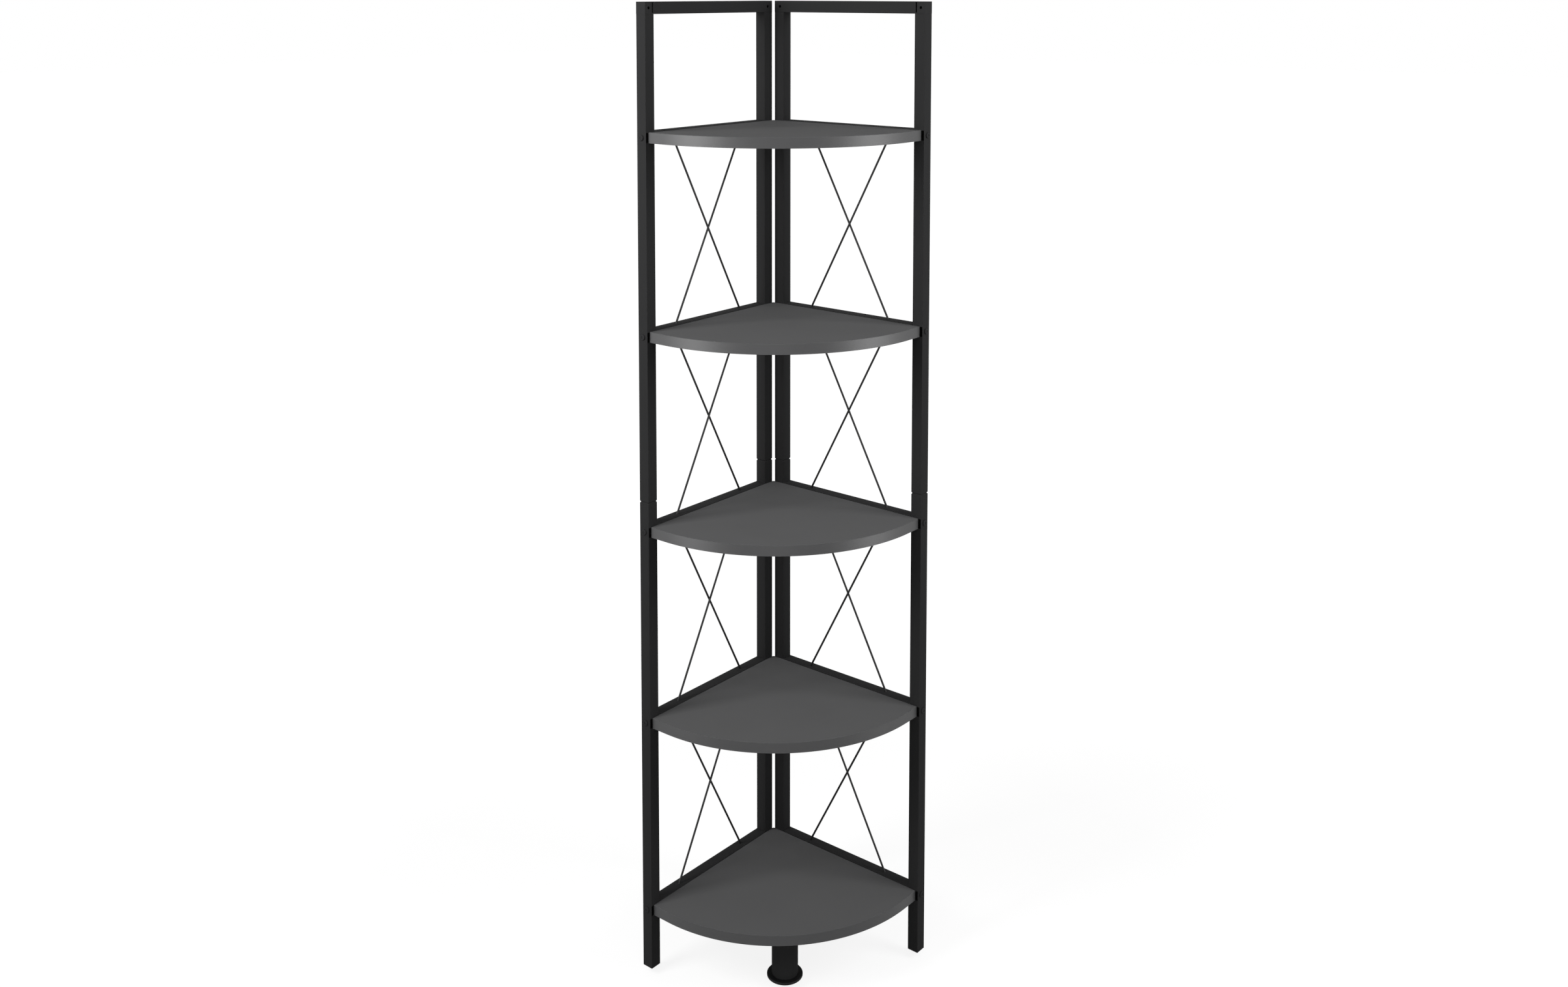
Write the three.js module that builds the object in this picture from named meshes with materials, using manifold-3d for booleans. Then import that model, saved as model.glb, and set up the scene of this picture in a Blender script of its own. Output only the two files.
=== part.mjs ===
// Corner shelf unit: two ladder frames of square steel tube meet in the corner of a room and carry
// five quarter-round boards. A round leg with a levelling foot holds up the front of the lowest board.
// Millimetres, +Z up. The unit stands on z = 0 and its box is centred on x = 0, y = 0. The room's
// corner lies towards -X and +Y: the left frame runs along the wall at -X and the right frame along
// the wall at +Y. Inside a frame, X is the run from the corner and Y the distance from the wall.

import * as THREE from "three";
import { mergeVertices } from "three/addons/utils/BufferGeometryUtils.js";
import Module from "manifold-3d";

const wasm = await Module();
wasm.setup();

// Driving dimensions of the unit
const tubeWidth = 20;
const tubeWall = 1.5;
const frameReach = 340;
const cornerGap = 3.3;
const postLength = 799.7;
const footCapThickness = 2.7;
const boardThickness = 17.5;
const boardSetback = 5;
const boardTipLength = 31.7;
const bottomRailTop = 112;
const topBayHeight = 208.6;
const shelfCount = 5;
const rodDiameter = 3.5;
const legDiameter = 44;

// Clearances: between pieces that touch, and what a cut runs past the surface that it opens
const seatGap = 0.3;
const cutOverrun = 1;

// Tube details
const tubeCornerRadius = 0.5;
const boreCornerRadius = 0.6;
const jointChamferInset = 1.3;
const jointChamferRise = 1.6;
const joinerBoltGap = 12;
const railEndPlate = 3;

// Top bar details
const spigotLength = 24;
const wallHoleDiameter = 5;
const wallHoleInset = 8.3;
const strapSlotWidth = 2.5;
const strapSlotHeight = 16.8;
const strapSlotInset = 17.1;
const strapSlotRise = 0.4;

// Board details
const boardDrop = 1;
const boardRearRadius = 4;
const boardScrewDiameter = 4;
const boardScrewDepth = 25;
const screwAccessDiameter = 9;
const boardScrewShares = [0.3, 0.7];

// Brace details: where the two rods of an X meet the rails, as shares of a rail's length
const braceRearShare = 0.2043;
const braceFrontShare = 0.7928;
const rodEntry = 6;
const rodPressShare = 0.5;

// Bolt details
const boltShankDiameter = 6;
const boltHeadDiameter = 10;
const boltHeadHeight = 1.9;
const boltHeadRim = 0.6;
const boltTopDiameter = 6;
const boltGripPastPost = 12;
const boltSocketAcrossCorners = 4.6;
const boltSocketDepth = 1.4;

// Foot cap details
const footCapInsert = 15;
const footCapChamfer = 0.7;

// Leg details: its axis as shares of the board's reach from either wall, then sizes
const legLeftShare = 0.6;
const legRightShare = 0.621;
const legWall = 1.5;
const legPlateWidth = 60;
const legPlateThickness = 2.5;
const legPlateCorner = 6;
const legPlateBoss = 8;
const legScrewInset = 7;
const legScrewDepth = 12;
const legPlugHeight = 12;
const legPlugRecess = 6;
const padDiameter = 60;
const padThickness = 4.6;
const padEdgeRadius = 1.4;
const padHubDiameter = 18;
const padHubRise = 4.6;
const padFloor = 2.2;
const stemDiameter = 8;
const stemLength = 46;
const stemChamfer = 1;

// Facets of round stretches
const tubeCornerFacets = 2;
const boardFrontFacets = 40;
const boardRearFacets = 4;
const rodFacets = 10;
const holeFacets = 12;
const boltFacets = 20;
const domeFacets = 4;
const legFacets = 48;
const padEdgeFacets = 4;
const socketSides = 6;

// Levels worked out from the stack of cap, two post lengths and top bar
const jointLevel = footCapThickness + seatGap + postLength;
const upperPostFoot = jointLevel + seatGap;
const topBarFoot = upperPostFoot + postLength + seatGap;
const shelfPitch = (topBarFoot + tubeWidth - topBayHeight - bottomRailTop) / (shelfCount - 1);
const railTops = Array.from({ length: shelfCount }, (_, shelf) => bottomRailTop + shelf * shelfPitch);
const boreWidth = tubeWidth - 2 * tubeWall;
const insertWidth = boreWidth - 2 * seatGap;
const rearPostRun = tubeWidth + cornerGap;
const railStart = rearPostRun + tubeWidth + seatGap;
const railEnd = frameReach - tubeWidth - seatGap;
const railLength = railEnd - railStart;
const braceRearRun = railStart + braceRearShare * railLength;
const braceFrontRun = railStart + braceFrontShare * railLength;
const boltHoleRadius = boltShankDiameter / 2 + seatGap;
const boltLevels = railTops.map((level) => level - tubeWidth / 2);
const halfFootprint = (frameReach + seatGap + boltHeadHeight) / 2;
const boardBottom = bottomRailTop - boardDrop - boardThickness;
const boardSide = tubeWidth + seatGap;
const boardReach = frameReach - boardSetback;
const boardFrontRadius = boardReach - boardSide - boardTipLength;
const legFromLeftWall = legLeftShare * boardReach;
const legFromRightWall = legRightShare * boardReach;

const sides = [
  { name: "left", inward: 1, turn: -Math.PI / 2 },
  { name: "right", inward: -1, turn: 0 },
];
const postPlaces = [
  { name: "front", run: frameReach - tubeWidth / 2 },
  { name: "rear", run: rearPostRun + tubeWidth / 2 },
];

// Finishes
const finishes = {
  frame: { color: 0x2b2b2c, roughness: 0.55, metalness: 0.2 },
  board: { color: 0x555556, roughness: 0.6, metalness: 0 },
  bolt: { color: 0x222223, roughness: 0.4, metalness: 0.7 },
  plastic: { color: 0x181819, roughness: 0.5, metalness: 0 },
  zinc: { color: 0x9a9da1, roughness: 0.35, metalness: 0.9 },
};

// Turns a closed geometry into a solid that can be joined and cut
function toSolid(geometry) {
  const bare = geometry.clone();
  bare.deleteAttribute("normal");
  bare.deleteAttribute("uv");
  const merged = mergeVertices(bare);
  const vertProperties = new Float32Array(merged.attributes.position.array);
  const triVerts = new Uint32Array(merged.index.array);
  return new wasm.Manifold(new wasm.Mesh({ numProp: 3, vertProperties, triVerts }));
}

// Turns a solid back into a geometry
function toGeometry(solid) {
  const mesh = solid.getMesh();
  const geometry = new THREE.BufferGeometry();
  geometry.setAttribute("position", new THREE.BufferAttribute(mesh.vertProperties, 3));
  geometry.setIndex(new THREE.BufferAttribute(mesh.triVerts, 1));
  geometry.computeVertexNormals();
  return geometry;
}

// Takes a list of cutters out of a body
function cut(body, cutters) {
  return cutters.reduce((rest, cutter) => rest.subtract(toSolid(cutter)), body);
}

function piece(name, geometry, finish) {
  const mesh = new THREE.Mesh(geometry, new THREE.MeshStandardMaterial(finishes[finish]));
  mesh.name = name;
  return mesh;
}

// Square outline with round corners, centred on the origin
function roundedSquare(width, radius) {
  const half = width / 2;
  const shape = new THREE.Shape();
  shape.moveTo(-half + radius, -half);
  shape.lineTo(half - radius, -half);
  shape.absarc(half - radius, -half + radius, radius, -Math.PI / 2, 0);
  shape.lineTo(half, half - radius);
  shape.absarc(half - radius, half - radius, radius, 0, Math.PI / 2);
  shape.lineTo(-half + radius, half);
  shape.absarc(-half + radius, half - radius, radius, Math.PI / 2, Math.PI);
  shape.lineTo(-half, -half + radius);
  shape.absarc(-half + radius, -half + radius, radius, Math.PI, Math.PI * 1.5);
  return shape;
}

// Upright prism of an outline, from z = 0 up
function uprightPrism(shape, height) {
  const settings = { depth: height, bevelEnabled: false, curveSegments: tubeCornerFacets };
  return new THREE.ExtrudeGeometry(shape, settings);
}

// The same prism laid along X, from x = 0 on
function lyingPrism(shape, length) {
  return uprightPrism(shape, length).rotateY(Math.PI / 2);
}

// Upright prism of a tube's outline, from z = 0 up, with a chamfer round its top
function chamferedPrism(width, height, inset, rise) {
  const full = uprightPrism(roundedSquare(width, tubeCornerRadius), height - rise);
  const narrow = uprightPrism(roundedSquare(width - 2 * inset, tubeCornerRadius), height);
  return toSolid(full).add(toSolid(narrow)).hull();
}

// Round cutters along X, Y and Z, centred on the origin
function drillAlongY(diameter, length) {
  return new THREE.CylinderGeometry(diameter / 2, diameter / 2, length, holeFacets);
}
function drillAlongX(diameter, length) {
  return drillAlongY(diameter, length).rotateZ(Math.PI / 2);
}
function drillAlongZ(diameter, length) {
  return drillAlongY(diameter, length).rotateX(Math.PI / 2);
}

// Body turned about Z from a profile of [radius, height] pairs
function turned(profile, facets) {
  const points = profile.map(([radius, height]) => new THREE.Vector2(radius, height));
  return new THREE.LatheGeometry(points, facets).rotateX(Math.PI / 2);
}

// Points of an arc as [x, y] pairs, both ends included
function arc(centreX, centreY, radius, from, to, facets) {
  return Array.from({ length: facets + 1 }, (_, step) => {
    const angle = from + ((to - from) * step) / facets;
    return [centreX + radius * Math.cos(angle), centreY + radius * Math.sin(angle)];
  });
}

// One post length, standing on z = 0, with the chamfered end that meets its neighbour on top
function postTube(holeLevels) {
  const outer = chamferedPrism(tubeWidth, postLength, jointChamferInset, jointChamferRise);
  const bore = uprightPrism(roundedSquare(boreWidth, boreCornerRadius), postLength + 2 * cutOverrun);
  bore.translate(0, 0, -cutOverrun);
  const boltHoles = holeLevels.map((level) =>
    drillAlongX(2 * boltHoleRadius, tubeWidth + 2 * cutOverrun).translate(0, 0, level));
  return cut(outer, [bore, ...boltHoles]);
}

// Posts of one frame, with the joiner in each, its foot cap and the top bar's spigot in its head
function addPosts(frame, side) {
  const centre = (side.inward * tubeWidth) / 2;
  const lowerFoot = footCapThickness + seatGap;
  const upperHead = upperPostFoot + postLength;
  const boltsBelowJoint = boltLevels.filter((level) => level < jointLevel);
  const boltsAboveJoint = boltLevels.filter((level) => level > jointLevel);
  const lowerTube = toGeometry(postTube(boltsBelowJoint.map((level) => level - lowerFoot)));
  const upperTube = toGeometry(postTube(boltsAboveJoint.map((level) => upperHead - level)));
  upperTube.rotateX(Math.PI).translate(0, 0, postLength);
  for (const place of postPlaces) {
    const stem = `${side.name}_${place.name}`;
    const lower = piece(`${stem}_lower_post`, lowerTube.clone(), "frame");
    lower.position.set(place.run, centre, lowerFoot);
    const upper = piece(`${stem}_upper_post`, upperTube.clone(), "frame");
    upper.position.set(place.run, centre, upperPostFoot);
    const joinerFoot = Math.max(...boltsBelowJoint) + boltShankDiameter / 2 + joinerBoltGap;
    const joiner = piece(`${stem}_post_joiner`, joinerTube(2 * (jointLevel - joinerFoot)), "zinc");
    joiner.position.set(place.run, centre, joinerFoot);
    const cap = piece(`${stem}_foot_cap`, footCap(), "plastic");
    cap.position.set(place.run, centre, 0);
    const spigotShape = roundedSquare(insertWidth, boreCornerRadius);
    const spigot = piece(`${stem}_bar_spigot`, uprightPrism(spigotShape, spigotLength), "frame");
    spigot.position.set(place.run, centre, upperHead - spigotLength);
    frame.add(lower, upper, joiner, cap, spigot);
  }
}

// Short tube inside the joint of two post lengths
function joinerTube(length) {
  const outer = uprightPrism(roundedSquare(insertWidth, boreCornerRadius), length);
  const boreShape = roundedSquare(insertWidth - 2 * tubeWall, boreCornerRadius);
  const bore = uprightPrism(boreShape, length + 2 * cutOverrun).translate(0, 0, -cutOverrun);
  return toGeometry(cut(toSolid(outer), [bore]));
}

// Plastic cap that closes a post's foot: a flange as wide as the tube and an insert in its bore
function footCap() {
  const upturned = chamferedPrism(tubeWidth, footCapThickness, footCapChamfer, footCapChamfer);
  const flange = upturned.rotate([180, 0, 0]).translate([0, 0, footCapThickness]);
  const insertHeight = footCapInsert + footCapThickness / 2;
  const insert = uprightPrism(roundedSquare(insertWidth, boreCornerRadius), insertHeight);
  insert.translate(0, 0, footCapThickness / 2);
  return toGeometry(flange.add(toSolid(insert)));
}

// The two rods of an X: each starts and ends inside the rails, and one lies in front of the other
function braceRods(side, lowRailTop) {
  const lowZ = lowRailTop;
  const highZ = lowRailTop + shelfPitch - tubeWidth;
  const offset = (rodDiameter * rodPressShare) / 2;
  const middle = tubeWidth / 2;
  const forward = { from: braceRearRun, to: braceFrontRun, fromWall: middle - side.inward * offset };
  const backward = { from: braceFrontRun, to: braceRearRun, fromWall: middle + side.inward * offset };
  return [forward, backward].map((rod) => ({
    low: new THREE.Vector3(rod.from, side.inward * rod.fromWall, lowZ),
    high: new THREE.Vector3(rod.to, side.inward * rod.fromWall, highZ),
  }));
}

// Round bar between two points, made longer by the same amount at both ends
function rodBetween(low, high, diameter, extra, facets) {
  const run = new THREE.Vector3().subVectors(high, low);
  const length = run.length() + 2 * extra;
  const rod = new THREE.CylinderGeometry(diameter / 2, diameter / 2, length, facets);
  const upright = new THREE.Vector3(0, 1, 0);
  const turn = new THREE.Quaternion().setFromUnitVectors(upright, run.clone().normalize());
  const middle = new THREE.Vector3().addVectors(low, high).multiplyScalar(0.5);
  return rod.applyQuaternion(turn).translate(middle.x, middle.y, middle.z);
}

// Shelf rail: a tube with a plate welded in each end, holed for bolts, board screws and brace rods
function shelfRail(side, shelf) {
  const centre = (side.inward * tubeWidth) / 2;
  const level = boltLevels[shelf];
  const outer = lyingPrism(roundedSquare(tubeWidth, tubeCornerRadius), railLength);
  outer.translate(railStart, centre, level);
  const bore = lyingPrism(roundedSquare(boreWidth, boreCornerRadius), railLength - 2 * railEndPlate);
  bore.translate(railStart + railEndPlate, centre, level);
  const boltHole = drillAlongX(2 * boltHoleRadius, railLength + 2 * cutOverrun);
  boltHole.translate((railStart + railEnd) / 2, centre, level);
  const cutters = [bore, boltHole];
  for (const share of boardScrewShares) {
    const run = railStart + share * railLength;
    const reach = tubeWall + 2 * cutOverrun;
    const roomHole = drillAlongY(boardScrewDiameter + 2 * seatGap, reach);
    const wallHole = drillAlongY(screwAccessDiameter, reach);
    cutters.push(roomHole.translate(run, side.inward * (tubeWidth - tubeWall / 2), level));
    cutters.push(wallHole.translate(run, side.inward * (tubeWall / 2), level));
  }
  const bays = [shelf - 1, shelf].filter((bay) => bay >= 0 && bay < shelfCount - 1);
  for (const bay of bays) {
    for (const rod of braceRods(side, railTops[bay])) {
      cutters.push(rodBetween(rod.low, rod.high, rodDiameter + 2 * seatGap, rodEntry, holeFacets));
    }
  }
  return toGeometry(cut(toSolid(outer), cutters));
}

// X brace of one bay: two rods pressed into each other where they cross
function crossBrace(side, bay) {
  const [forward, backward] = braceRods(side, railTops[bay]).map((rod) =>
    toSolid(rodBetween(rod.low, rod.high, rodDiameter, rodEntry, rodFacets)));
  return toGeometry(forward.add(backward));
}

// Top bar: lies on the two posts of its frame, with holes for wall screws near its ends
function topBar(side) {
  const centre = (side.inward * tubeWidth) / 2;
  const level = topBarFoot + tubeWidth / 2;
  const length = frameReach - rearPostRun;
  const outer = lyingPrism(roundedSquare(tubeWidth, tubeCornerRadius), length);
  outer.translate(rearPostRun, centre, level);
  const bore = lyingPrism(roundedSquare(boreWidth, boreCornerRadius), length - 2 * tubeWall);
  bore.translate(rearPostRun + tubeWall, centre, level);
  const slot = new THREE.BoxGeometry(strapSlotWidth, tubeWall + 2 * cutOverrun, strapSlotHeight);
  const slotRun = frameReach - strapSlotInset;
  slot.translate(slotRun, side.inward * (tubeWidth - tubeWall / 2), level + strapSlotRise);
  const wallHoles = postPlaces.map((place) => {
    const run = place.run + tubeWidth / 2 - wallHoleInset;
    return drillAlongY(wallHoleDiameter, tubeWidth + 2 * cutOverrun).translate(run, centre, level);
  });
  return toGeometry(cut(toSolid(outer), [bore, slot, ...wallHoles]));
}

// Button-head bolt with its axis along X, its head's seat at x = 0 and its shank towards -X
function railBolt() {
  const headRadius = boltHeadDiameter / 2;
  const topRadius = boltTopDiameter / 2;
  const shankRadius = boltShankDiameter / 2;
  const dome = Array.from({ length: domeFacets + 1 }, (_, step) => {
    const angle = (step / domeFacets) * (Math.PI / 2);
    const radius = topRadius + (headRadius - topRadius) * Math.cos(angle);
    return [radius, boltHeadRim + (boltHeadHeight - boltHeadRim) * Math.sin(angle)];
  });
  const shankEnd = -(tubeWidth + boltGripPastPost);
  const profile = [[0, shankEnd], [shankRadius, shankEnd], [shankRadius, 0], [headRadius, 0]];
  profile.push(...dome, [0, boltHeadHeight]);
  const bolt = turned(profile, boltFacets).rotateY(Math.PI / 2);
  const socketRadius = boltSocketAcrossCorners / 2;
  const socket = new THREE.CylinderGeometry(socketRadius, socketRadius, 2 * boltSocketDepth, socketSides);
  socket.rotateZ(Math.PI / 2).translate(boltHeadHeight, 0, 0);
  return toGeometry(cut(toSolid(bolt), [socket]));
}

// Quarter-round board: two straight sides along the frames, short straight tips and a round front
function shelfBoard(shelf) {
  const rearCentre = boardSide + boardRearRadius;
  const frontCentre = boardReach - boardFrontRadius;
  const front = arc(frontCentre, -frontCentre, boardFrontRadius, -Math.PI / 2, 0, boardFrontFacets);
  const rear = arc(rearCentre, -rearCentre, boardRearRadius, Math.PI / 2, Math.PI, boardRearFacets);
  const outline = [[boardSide, -boardReach], ...front, [boardReach, -boardSide], ...rear];
  const shape = new THREE.Shape(outline.map(([x, y]) => new THREE.Vector2(x, y)));
  const bottom = railTops[shelf] - boardDrop - boardThickness;
  const board = uprightPrism(shape, boardThickness).translate(0, 0, bottom);
  const level = boltLevels[shelf];
  const pilots = [];
  for (const share of boardScrewShares) {
    const run = railStart + share * railLength;
    pilots.push(drillAlongX(boardScrewDiameter, 2 * boardScrewDepth).translate(boardSide, -run, level));
    pilots.push(drillAlongY(boardScrewDiameter, 2 * boardScrewDepth).translate(run, -boardSide, level));
  }
  if (shelf === 0) {
    for (const [x, y] of legScrewPlaces()) {
      const pilot = drillAlongZ(boardScrewDiameter, 2 * legScrewDepth);
      pilots.push(pilot.translate(legFromLeftWall + x, -legFromRightWall + y, bottom));
    }
  }
  return toGeometry(cut(toSolid(board), pilots));
}

// Screw places of the leg's plate, seen from the leg's axis
function legScrewPlaces() {
  const reach = legPlateWidth / 2 - legScrewInset;
  return [[reach, reach], [-reach, reach], [-reach, -reach], [reach, -reach]];
}

// Leg: plate under the board, tube, plug with the foot's thread, and the levelling foot
function addLeg(unit) {
  const plateTop = boardBottom - seatGap;
  const plateBottom = plateTop - legPlateThickness;
  const boreRadius = legDiameter / 2 - legWall;
  const fitRadius = boreRadius - seatGap;
  const tubeFoot = padThickness + seatGap;
  const tubeHead = plateBottom - seatGap;

  const plate = uprightPrism(roundedSquare(legPlateWidth, legPlateCorner), legPlateThickness);
  plate.translate(0, 0, plateBottom);
  const bossHeight = legPlateBoss + legPlateThickness / 2;
  const boss = new THREE.CylinderGeometry(fitRadius, fitRadius, bossHeight, legFacets).rotateX(Math.PI / 2);
  boss.translate(0, 0, plateBottom - legPlateBoss + bossHeight / 2);
  const plateHoles = legScrewPlaces().map(([x, y]) =>
    drillAlongZ(boardScrewDiameter + 2 * seatGap, 2 * legPlateThickness).translate(x, y, plateTop));
  const plateSolid = cut(toSolid(plate).add(toSolid(boss)), plateHoles);

  const legRadius = legDiameter / 2;
  const tubeProfile = [[boreRadius, tubeFoot], [legRadius, tubeFoot], [legRadius, tubeHead]];
  tubeProfile.push([boreRadius, tubeHead], [boreRadius, tubeFoot]);
  const plugFoot = tubeFoot + legPlugRecess;
  const plugHead = plugFoot + legPlugHeight;
  const threadRadius = stemDiameter / 2 + seatGap;
  const plugProfile = [[threadRadius, plugFoot], [fitRadius, plugFoot], [fitRadius, plugHead]];
  plugProfile.push([threadRadius, plugHead], [threadRadius, plugFoot]);

  const parts = [
    piece("leg_mounting_plate", toGeometry(plateSolid), "frame"),
    piece("leg_tube", turned(tubeProfile, legFacets), "frame"),
    piece("leg_end_plug", turned(plugProfile, legFacets), "plastic"),
    piece("levelling_foot_pad", levellingPad(), "plastic"),
    piece("levelling_foot_stem", levellingStem(), "zinc"),
  ];
  for (const part of parts) {
    part.position.set(legFromLeftWall, -legFromRightWall, 0);
    unit.add(part);
  }
}

// Pad of the levelling foot: a flat disc with rounded rims and a hub that holds the stem
function levellingPad() {
  const radius = padDiameter / 2;
  const ring = radius - padEdgeRadius;
  const lowRim = arc(ring, padEdgeRadius, padEdgeRadius, -Math.PI / 2, 0, padEdgeFacets);
  const highRim = arc(ring, padThickness - padEdgeRadius, padEdgeRadius, 0, Math.PI / 2, padEdgeFacets);
  const hubRadius = padHubDiameter / 2;
  const hubTop = padThickness + padHubRise;
  const socketRadius = stemDiameter / 2 + seatGap;
  const profile = [[0, 0], ...lowRim, ...highRim, [hubRadius, padThickness], [hubRadius, hubTop]];
  profile.push([socketRadius, hubTop], [socketRadius, padFloor], [0, padFloor]);
  return turned(profile, legFacets);
}

// Threaded stem of the levelling foot, with a chamfered head
function levellingStem() {
  const radius = stemDiameter / 2;
  const foot = padFloor + seatGap;
  const head = foot + stemLength;
  const profile = [[0, foot], [radius, foot], [radius, head - stemChamfer]];
  profile.push([radius - stemChamfer, head], [0, head]);
  return turned(profile, boltFacets);
}

// The unit
const unit = new THREE.Group();
unit.position.set(-halfFootprint, halfFootprint, 0);
for (const side of sides) {
  const frame = new THREE.Group();
  frame.rotation.z = side.turn;
  addPosts(frame, side);
  frame.add(piece(`${side.name}_top_bar`, topBar(side), "frame"));
  for (let shelf = 0; shelf < shelfCount; shelf += 1) {
    frame.add(piece(`${side.name}_rail_${shelf + 1}`, shelfRail(side, shelf), "frame"));
    const bolt = piece(`${side.name}_front_bolt_${shelf + 1}`, railBolt(), "bolt");
    bolt.position.set(frameReach + seatGap, (side.inward * tubeWidth) / 2, boltLevels[shelf]);
    frame.add(bolt);
  }
  for (let bay = 0; bay < shelfCount - 1; bay += 1) {
    frame.add(piece(`${side.name}_cross_brace_${bay + 1}`, crossBrace(side, bay), "frame"));
  }
  unit.add(frame);
}
for (let shelf = 0; shelf < shelfCount; shelf += 1) {
  unit.add(piece(`shelf_board_${shelf + 1}`, shelfBoard(shelf), "board"));
}
addLeg(unit);

const model = new THREE.Group();
model.add(unit);

export default model;
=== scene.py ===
# %% [markdown]
# # A corner shelf unit, dressed for its picture
# The real thing is a light steel frame with five quarter-round boards, made to stand in the
# corner of a room. The solids come from CAD and are already in the right place. This lesson adds
# what a solid leaves out: rounded edges, real fasteners, surfaces that look like paint, lacquer,
# plastic and zinc, a studio and a camera. Everything is in metres.

import math

import bmesh
import bpy
from mathutils import Matrix, Vector


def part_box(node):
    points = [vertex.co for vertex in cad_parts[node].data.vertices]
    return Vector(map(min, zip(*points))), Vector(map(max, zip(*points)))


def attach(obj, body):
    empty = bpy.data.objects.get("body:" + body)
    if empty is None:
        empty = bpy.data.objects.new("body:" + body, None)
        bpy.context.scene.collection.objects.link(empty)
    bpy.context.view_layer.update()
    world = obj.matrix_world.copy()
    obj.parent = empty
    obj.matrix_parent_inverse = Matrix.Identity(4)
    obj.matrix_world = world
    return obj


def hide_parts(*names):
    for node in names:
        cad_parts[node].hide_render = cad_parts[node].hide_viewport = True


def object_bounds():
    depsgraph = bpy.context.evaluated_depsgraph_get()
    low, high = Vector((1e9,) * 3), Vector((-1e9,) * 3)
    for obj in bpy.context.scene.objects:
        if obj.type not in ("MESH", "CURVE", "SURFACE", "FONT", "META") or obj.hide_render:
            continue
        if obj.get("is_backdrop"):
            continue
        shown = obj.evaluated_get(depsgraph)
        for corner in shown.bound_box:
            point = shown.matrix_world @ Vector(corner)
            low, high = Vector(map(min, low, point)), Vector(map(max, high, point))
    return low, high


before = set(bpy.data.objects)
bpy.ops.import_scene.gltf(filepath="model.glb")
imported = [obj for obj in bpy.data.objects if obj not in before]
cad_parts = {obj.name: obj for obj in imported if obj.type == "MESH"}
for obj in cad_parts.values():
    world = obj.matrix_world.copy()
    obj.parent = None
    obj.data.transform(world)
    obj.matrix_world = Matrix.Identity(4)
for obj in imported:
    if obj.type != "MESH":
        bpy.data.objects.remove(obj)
cad_low, cad_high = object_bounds()
MM = 0.001
UNIT = "shelf_unit"
FOOT = "levelling_foot"
SIDES = ("left", "right")
LEVELS = range(1, 6)
print("box:", [round(high - low, 4) for low, high in zip(cad_low, cad_high)])

# %% [markdown]
# ## The camera
# The picture was taken from a little above the highest board, with the lens shifted so that the
# posts stay upright. A camera could be placed by eye, but edges that are known in metres and seen
# in pixels give one exact answer, so the solved numbers are written down here. The shift moves
# the frame over the image that the lens makes, as on a technical camera.

# %% Make the camera
IMAGE_WIDTH = 2408
IMAGE_HEIGHT = 1515
FOCAL_PIXELS = 2369.1614
AXIS_COLUMN = 1194.2357
AXIS_ROW = 189.3465
CAMERA_FROM_WALLS = Vector((1753.1957, -2105.6824, 1640.942)) * MM
CAMERA_YAW = 39.5642
CAMERA_PITCH = -4.9255
SENSOR_WIDTH = 36.0

corner = Vector((cad_low.x, cad_high.y, 0))
camera_data = bpy.data.cameras.new("photo_camera")
camera_data.sensor_fit = "HORIZONTAL"
camera_data.sensor_width = SENSOR_WIDTH
camera_data.lens = FOCAL_PIXELS / IMAGE_WIDTH * SENSOR_WIDTH
camera_data.shift_x = (IMAGE_WIDTH / 2 - AXIS_COLUMN) / IMAGE_WIDTH
camera_data.shift_y = (AXIS_ROW - IMAGE_HEIGHT / 2) / IMAGE_WIDTH
camera = bpy.data.objects.new("photo_camera", camera_data)
camera.location = corner + CAMERA_FROM_WALLS
camera.rotation_euler = (math.radians(90 + CAMERA_PITCH), 0, math.radians(CAMERA_YAW))
bpy.context.collection.objects.link(camera)
bpy.context.scene.camera = camera
print("lens:", round(camera_data.lens, 2), "shift:", round(camera_data.shift_y, 4))

# %% [markdown]
# ## Writing node trees as sums
# Materials and Geometry Nodes are both trees of nodes. Linking them one by one hides the thought
# behind them, so a small class wraps a socket and lets Python's own signs add the Math nodes.
# What is not plain arithmetic comes from one method, which takes a node's type, settings and
# inputs.


# %% A wrapped socket and a wrapped tree
class Wire:
    """An output socket; arithmetic on it adds Math nodes to its tree."""

    def __init__(self, tree, socket):
        self.tree = tree
        self.socket = socket

    def math(self, operation, *operands):
        values = dict(enumerate(operands))
        return self.tree.node("ShaderNodeMath", {"operation": operation}, values)

    def __add__(self, other):
        return self.math("ADD", self, other)

    def __radd__(self, other):
        return self.math("ADD", other, self)

    def __sub__(self, other):
        return self.math("SUBTRACT", self, other)

    def __rsub__(self, other):
        return self.math("SUBTRACT", other, self)

    def __mul__(self, other):
        return self.math("MULTIPLY", self, other)

    def __rmul__(self, other):
        return self.math("MULTIPLY", other, self)

    def __truediv__(self, other):
        return self.math("DIVIDE", self, other)

    def __gt__(self, other):
        return self.math("GREATER_THAN", self, other)

    def clamped(self):
        return self.math("MAXIMUM", self.math("MINIMUM", self, 1.0), 0.0)

    def root(self):
        return self.math("SQRT", self)

    def other(self, name):
        """Another output of the same node."""
        return Wire(self.tree, self.socket.node.outputs[name])


class Tree:
    """A node tree that is filled from scratch."""

    def __init__(self, node_tree):
        self.node_tree = node_tree
        node_tree.nodes.clear()

    def feed(self, socket, value):
        """Links a wire or a list of wires to an input, or sets its value."""
        if isinstance(value, Wire):
            self.node_tree.links.new(value.socket, socket)
        elif isinstance(value, (list, tuple)) and value and isinstance(value[0], Wire):
            for wire in reversed(value):
                self.node_tree.links.new(wire.socket, socket)
        else:
            socket.default_value = value

    def node(self, kind, settings=None, values=None, output=0):
        made = self.node_tree.nodes.new(kind)
        for name, value in (settings or {}).items():
            setattr(made, name, value)
        for key, value in (values or {}).items():
            self.feed(made.inputs[key], value)
        return Wire(self, made.outputs[output]) if made.outputs else made


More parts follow.
